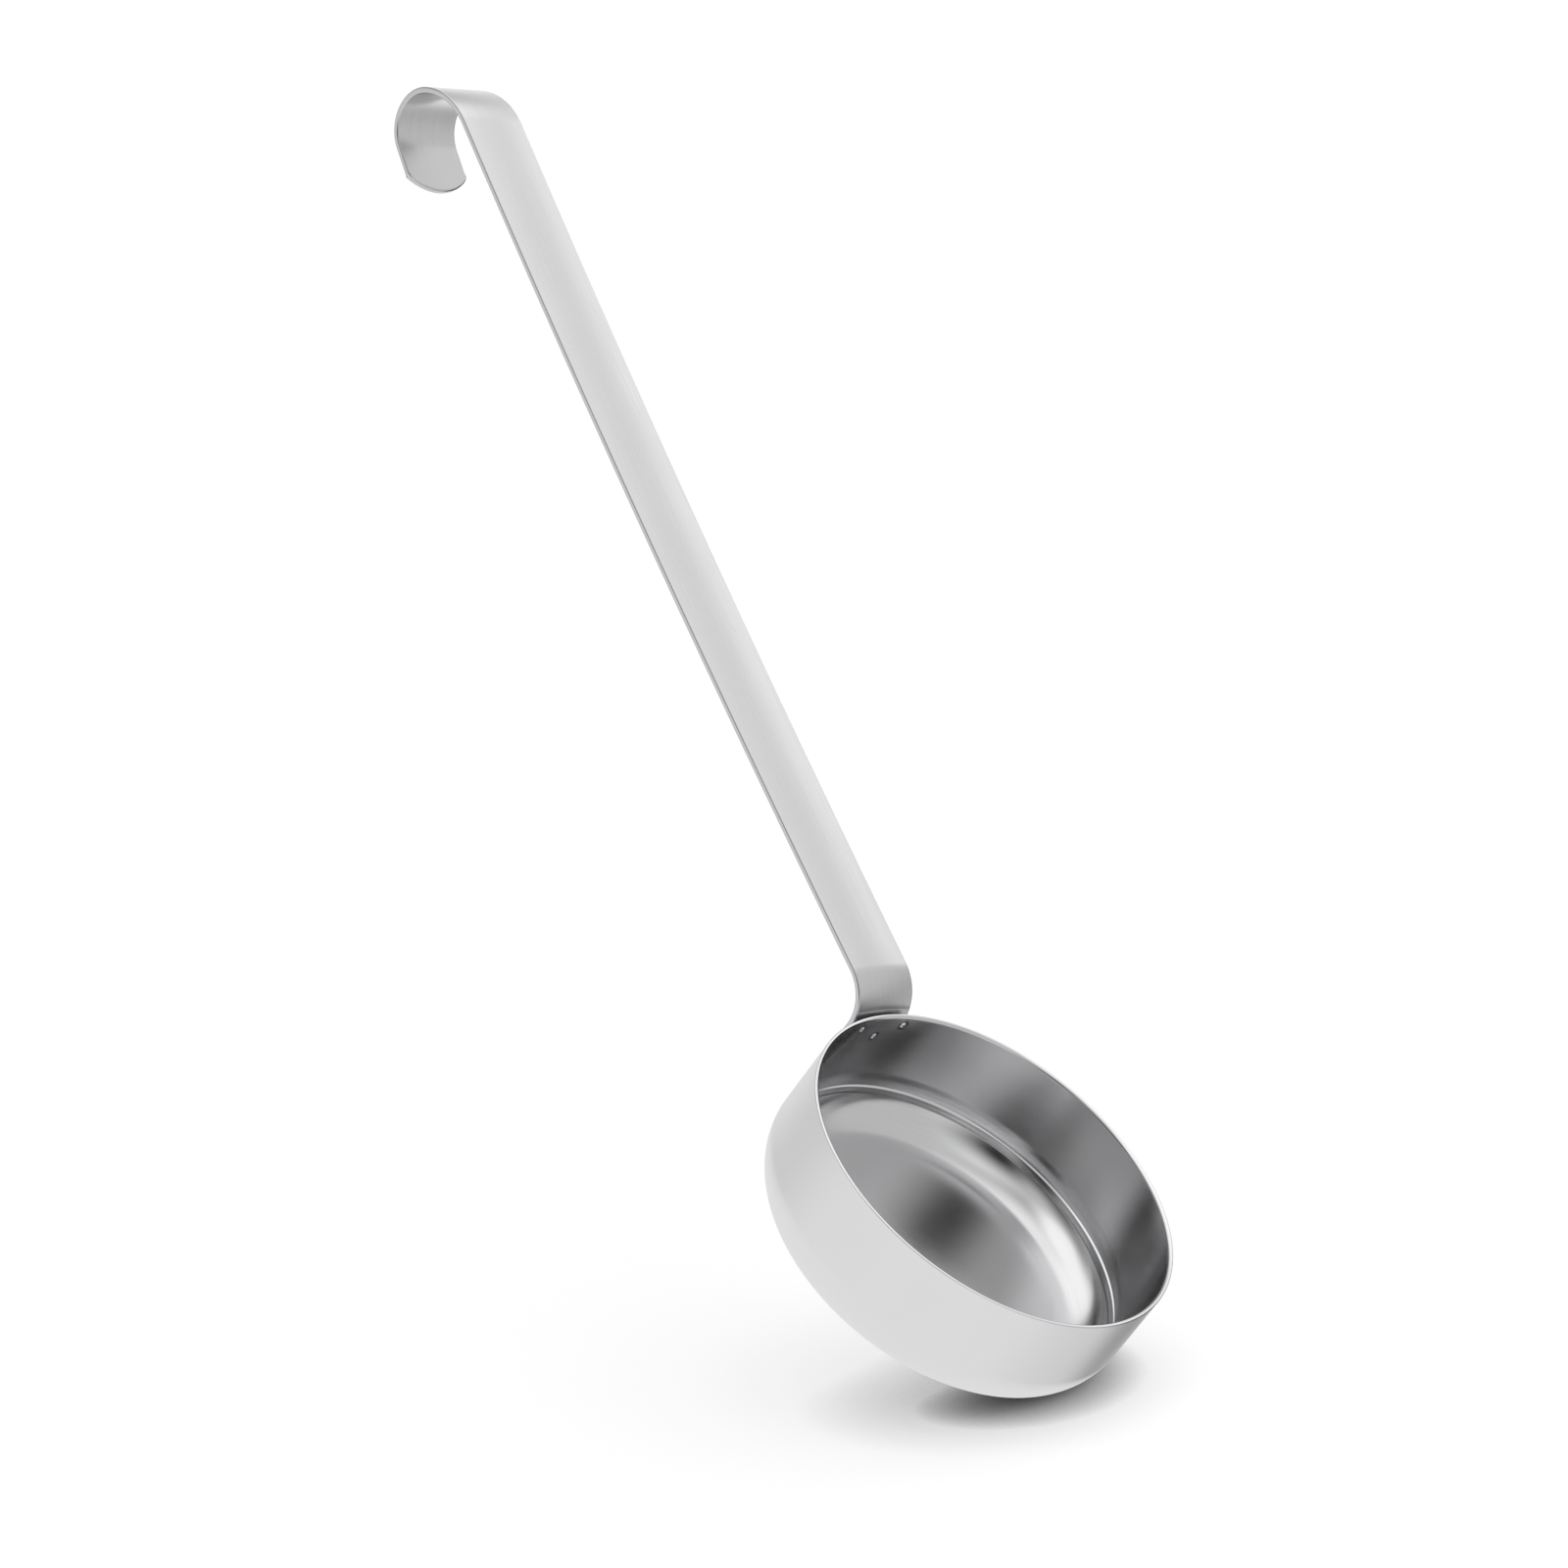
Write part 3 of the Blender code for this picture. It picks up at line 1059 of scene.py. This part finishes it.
@dataclass
class Studio:
    """Camera, pale floor and soft light. Lengths in metres, angles in degrees.

    The floor's glow and the levels of the room and its cards are shares of white.
    """

    camera_place: Vector = field(default_factory=lambda: Vector((0.44504, -0.84003, 0.63278)))
    camera_right: Vector = field(default_factory=lambda: Vector((0.52507, 0.68758, 0.50154)))
    camera_up: Vector = field(default_factory=lambda: Vector((-0.71497, 0.03669, 0.69820)))
    camera_back: Vector = field(default_factory=lambda: Vector((0.46166, -0.72519, 0.51086)))
    lens_mm: float = 135.0
    sensor_mm: float = 36.0
    nearest_seen: float = 0.05
    furthest_seen: float = 50.0
    ground_slope: float = 14.0
    floor_radius: float = 4.0
    floor_sides: int = 64
    floor_gap: float = 0.00005
    floor_colour: float = 0.45
    floor_lift: float = 0.63
    wide_shade: FloorShade = FloorShade(0.020, 0.4, 50.0)
    tight_shade: FloorShade = FloorShade(0.0080, 1.0, 20.0)
    shade_samples: int = 4
    cup: LadleCup = field(default_factory=LadleCup)
    room_level: float = 1.03
    darkest_level: float = 0.02
    brightest_level: float = 1.3
    lamp_level: float = 0.30
    lamp_spread: float = 70.0
    lamp_from_camera: float = 95.0
    lamp_clock: float = 60.0
    cards: tuple[SoftCard, ...] = (
        SoftCard("dark space round the camera", 1.0, 108.0, 0.0, 43.0, -1.06),
        SoftCard("dim space on the right", 87.0, -7.0, 41.0, 73.0, -0.35),
        SoftCard("dark wall far on the right", 131.0, -10.0, 28.0, 34.0, -1.01),
        SoftCard("dim space on the left", 92.0, 111.0, 39.0, 71.0, -0.66),
        SoftCard("overhead softbox", 84.0, 83.0, 15.0, 48.0, 1.19),
        SoftCard("small lamp above on the right", 115.0, 39.0, 2.0, 8.0, 0.86),
        SoftCard("dim space above on the right", 62.0, 73.0, 12.0, 34.0, -0.43),
        SoftCard("dark card on the left", 42.0, 166.0, 4.0, 32.0, -0.94),
        SoftCard("near end of the softbox", 56.0, 105.0, 3.0, 23.0, 0.93),
    )

    def build_camera(self) -> bpy.types.Object:
        """Set up the camera.

        Returns:
            The camera.
        """
        lens = bpy.data.cameras.new("studio_camera")
        lens.lens = self.lens_mm
        lens.sensor_width = self.sensor_mm
        lens.clip_start = self.nearest_seen
        lens.clip_end = self.furthest_seen
        camera = new_object("studio_camera", lens)
        turn = Matrix((self.camera_right, self.camera_up, self.camera_back)).transposed()
        camera.matrix_world = Matrix.Translation(self.camera_place) @ turn.to_4x4()
        bpy.context.scene.camera = camera
        return camera

    def ground_up(self) -> Vector:
        """Direction square to the ground that the ladle is propped on."""
        slope = math.radians(self.ground_slope)
        up = self.camera_up * math.cos(slope) + self.camera_back * math.sin(slope)
        return up.normalized()

    def lowest_point(self) -> Vector:
        """Point of the cup's outer corner that touches the ground.

        Returns:
            The point in the ladle's frame.
        """
        down = -self.ground_up()
        out = Vector((down.x, down.y, 0.0)).normalized()
        centre = out * (self.cup.rim_radius - self.cup.corner_radius)
        centre.z = self.cup.corner_radius
        return centre + down * self.cup.corner_radius

    def add_shade(self, tree: Tree, shade: FloorShade) -> Socket:
        """Share of the light that the ladle leaves to the floor near it.

        The light leans in from the camera's right, so the shade lies to the left.

        Args:
            tree: Node tree of the floor's material.
            shade: The shade's reach, strength and lean.

        Returns:
            Socket that gives the share, from 0 to 1.
        """
        tilt = math.radians(shade.lean)
        towards = self.ground_up() * math.cos(tilt) + self.camera_right * math.sin(tilt)
        leaning = add_node(tree, "ShaderNodeCombineXYZ", {},
                           {"X": towards.x, "Y": towards.y, "Z": towards.z})
        near = add_node(tree, "ShaderNodeAmbientOcclusion", {"samples": self.shade_samples},
                        {"Distance": shade.reach, "Normal": leaning.outputs["Vector"]})
        share = add_node(tree, "ShaderNodeMath", {"operation": "POWER"},
                         {0: near.outputs["AO"], 1: shade.power})
        return share.outputs["Value"]

    def floor_material(self) -> bpy.types.Material:
        """Matt pale floor with a glow for the camera and a painted shadow near the ladle,
        clear from below.

        Returns:
            The floor's material.
        """
        material = bpy.data.materials.new("pale_floor")
        material.use_nodes = True
        tree = material.node_tree
        tree.nodes.clear()
        light = add_node(tree, "ShaderNodeLightPath")
        side = add_node(tree, "ShaderNodeNewGeometry")
        # Painted shadow: occlusion near the ladle darkens the floor's colour and glow
        wide = self.add_shade(tree, self.wide_shade)
        tight = self.add_shade(tree, self.tight_shade)
        dark = add_node(tree, "ShaderNodeMath", {"operation": "MULTIPLY"}, {0: wide, 1: tight})
        tone = add_node(tree, "ShaderNodeMix", {"data_type": "RGBA"},
                        {"Factor": dark.outputs["Value"], "A": (0.0, 0.0, 0.0, 1.0),
                         "B": (self.floor_colour,) * 3 + (1.0,)})
        matt = add_node(tree, "ShaderNodeBsdfDiffuse", {}, {"Color": tone.outputs["Result"]})
        seen = add_node(tree, "ShaderNodeMath", {"operation": "MAXIMUM"},
                        {0: light.outputs["Is Camera Ray"], 1: light.outputs["Is Glossy Ray"]})
        glow = add_node(tree, "ShaderNodeMath", {"operation": "MULTIPLY"},
                        {0: seen.outputs["Value"], 1: dark.outputs["Value"]})
        lift = add_node(tree, "ShaderNodeEmission", {},
                        {"Color": (self.floor_lift,) * 3 + (1.0,),
                         "Strength": glow.outputs["Value"]})
        lit = add_node(tree, "ShaderNodeAddShader", {},
                       {0: matt.outputs["BSDF"], 1: lift.outputs["Emission"]})
        clear = add_node(tree, "ShaderNodeBsdfTransparent")
        mix = add_node(tree, "ShaderNodeMixShader", {},
                       {0: side.outputs["Backfacing"], 1: lit.outputs["Shader"],
                        2: clear.outputs["BSDF"]})
        add_node(tree, "ShaderNodeOutputMaterial", {}, {"Surface": mix.outputs["Shader"]})
        return material

    def build_floor(self) -> bpy.types.Object:
        """Lay the floor under the cup's lowest point.

        Returns:
            The floor.
        """
        up = self.ground_up()
        work = bmesh.new()
        bmesh.ops.create_circle(work, cap_ends=True, segments=self.floor_sides,
                                radius=self.floor_radius)
        place = Matrix.Translation(self.lowest_point() - up * self.floor_gap)
        turn = up.to_track_quat("Z", "Y").to_matrix().to_4x4()
        bmesh.ops.transform(work, matrix=place @ turn, verts=work.verts)
        mesh = bpy.data.meshes.new("floor")
        work.to_mesh(mesh)
        work.free()
        mesh.materials.append(self.floor_material())
        floor = new_object("floor", mesh)
        floor.visible_glossy = False
        return floor

    def direction(self, from_camera: float, clock: float) -> Vector:
        """Direction in which a card or a lamp stands, in the ladle's frame.

        Args:
            from_camera: Angle away from the camera in degrees.
            clock: Angle from the camera's right upwards in degrees.

        Returns:
            A direction of length one.
        """
        away, turn = math.radians(from_camera), math.radians(clock)
        aside = self.camera_right * math.cos(turn) + self.camera_up * math.sin(turn)
        return (self.camera_back * math.cos(away) + aside * math.sin(away)).normalized()

    def add_card(self, tree: Tree, card: SoftCard, looking: Socket, level: Socket) -> Socket:
        """Add one card's light to the level of the room.

        Args:
            tree: Node tree of the world.
            card: The card.
            looking: Socket that gives the direction of the ray.
            level: Socket that gives the level without this card.

        Returns:
            Socket that gives the level with this card.
        """
        near = add_node(tree, "ShaderNodeVectorMath", {"operation": "DOT_PRODUCT"},
                        {0: looking, 1: self.direction(card.from_camera, card.clock)})
        held = add_node(tree, "ShaderNodeClamp", {},
                        {"Value": near.outputs["Value"], "Min": -1.0, "Max": 1.0})
        angle = add_node(tree, "ShaderNodeMath", {"operation": "ARCCOSINE"},
                         {0: held.outputs["Result"]})
        cover = add_node(tree, "ShaderNodeMapRange",
                         {"interpolation_type": "SMOOTHSTEP", "label": card.use},
                         {"Value": angle.outputs["Value"],
                          "From Min": math.radians(card.core),
                          "From Max": math.radians(card.edge), "To Min": 1.0, "To Max": 0.0})
        total = add_node(tree, "ShaderNodeMath", {"operation": "MULTIPLY_ADD"},
                         {0: cover.outputs["Result"], 1: card.level, 2: level})
        return total.outputs["Value"]

    def build_world(self) -> None:
        """Pale room with light and dark cards for the steel, white to the camera."""
        world = bpy.data.worlds.new("soft_studio")
        bpy.context.scene.world = world
        world.use_nodes = True
        tree = world.node_tree
        place = add_node(tree, "ShaderNodeTexCoord")
        room = add_node(tree, "ShaderNodeValue")
        room.outputs["Value"].default_value = self.room_level
        level = room.outputs["Value"]
        for card in self.cards:
            level = self.add_card(tree, card, place.outputs["Generated"], level)
        held = add_node(tree, "ShaderNodeClamp", {},
                        {"Value": level, "Min": self.darkest_level,
                         "Max": self.brightest_level})
        path = add_node(tree, "ShaderNodeLightPath")
        seen = add_node(tree, "ShaderNodeMix", {"data_type": "FLOAT"},
                        {"Factor": path.outputs["Is Camera Ray"], "A": held.outputs["Result"],
                         "B": 1.0})
        background = tree.nodes["Background"]
        background.inputs["Color"].default_value = (1.0, 1.0, 1.0, 1.0)
        tree.links.new(seen.outputs["Result"], background.inputs["Strength"])

    def build_lamp(self) -> bpy.types.Object:
        """Wide soft lamp that lights the floor and helps with the ladle's soft shadow.

        Returns:
            The lamp.
        """
        light = bpy.data.lights.new("wide_soft_lamp", "SUN")
        light.energy = self.lamp_level
        light.angle = math.radians(self.lamp_spread)
        light.specular_factor = 0.0
        lamp = new_object("wide_soft_lamp", light)
        lamp.visible_glossy = False
        towards = self.direction(self.lamp_from_camera, self.lamp_clock)
        lamp.matrix_world = towards.to_track_quat("Z", "Y").to_matrix().to_4x4()
        return lamp

    def build(self) -> None:
        """Set up the whole studio."""
        self.build_camera()
        self.build_floor()
        self.build_world()
        self.build_lamp()
        bpy.context.scene.view_settings.view_transform = "Standard"


def main() -> None:
    """Build every piece and the studio."""
    logging.basicConfig(level=logging.INFO, format="%(name)s: %(message)s")
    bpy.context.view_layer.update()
    LadleCup().build()
    StrapHandle().build()
    SpotWelds().build()
    Studio().build()


if __name__ == "__main__":
    main()
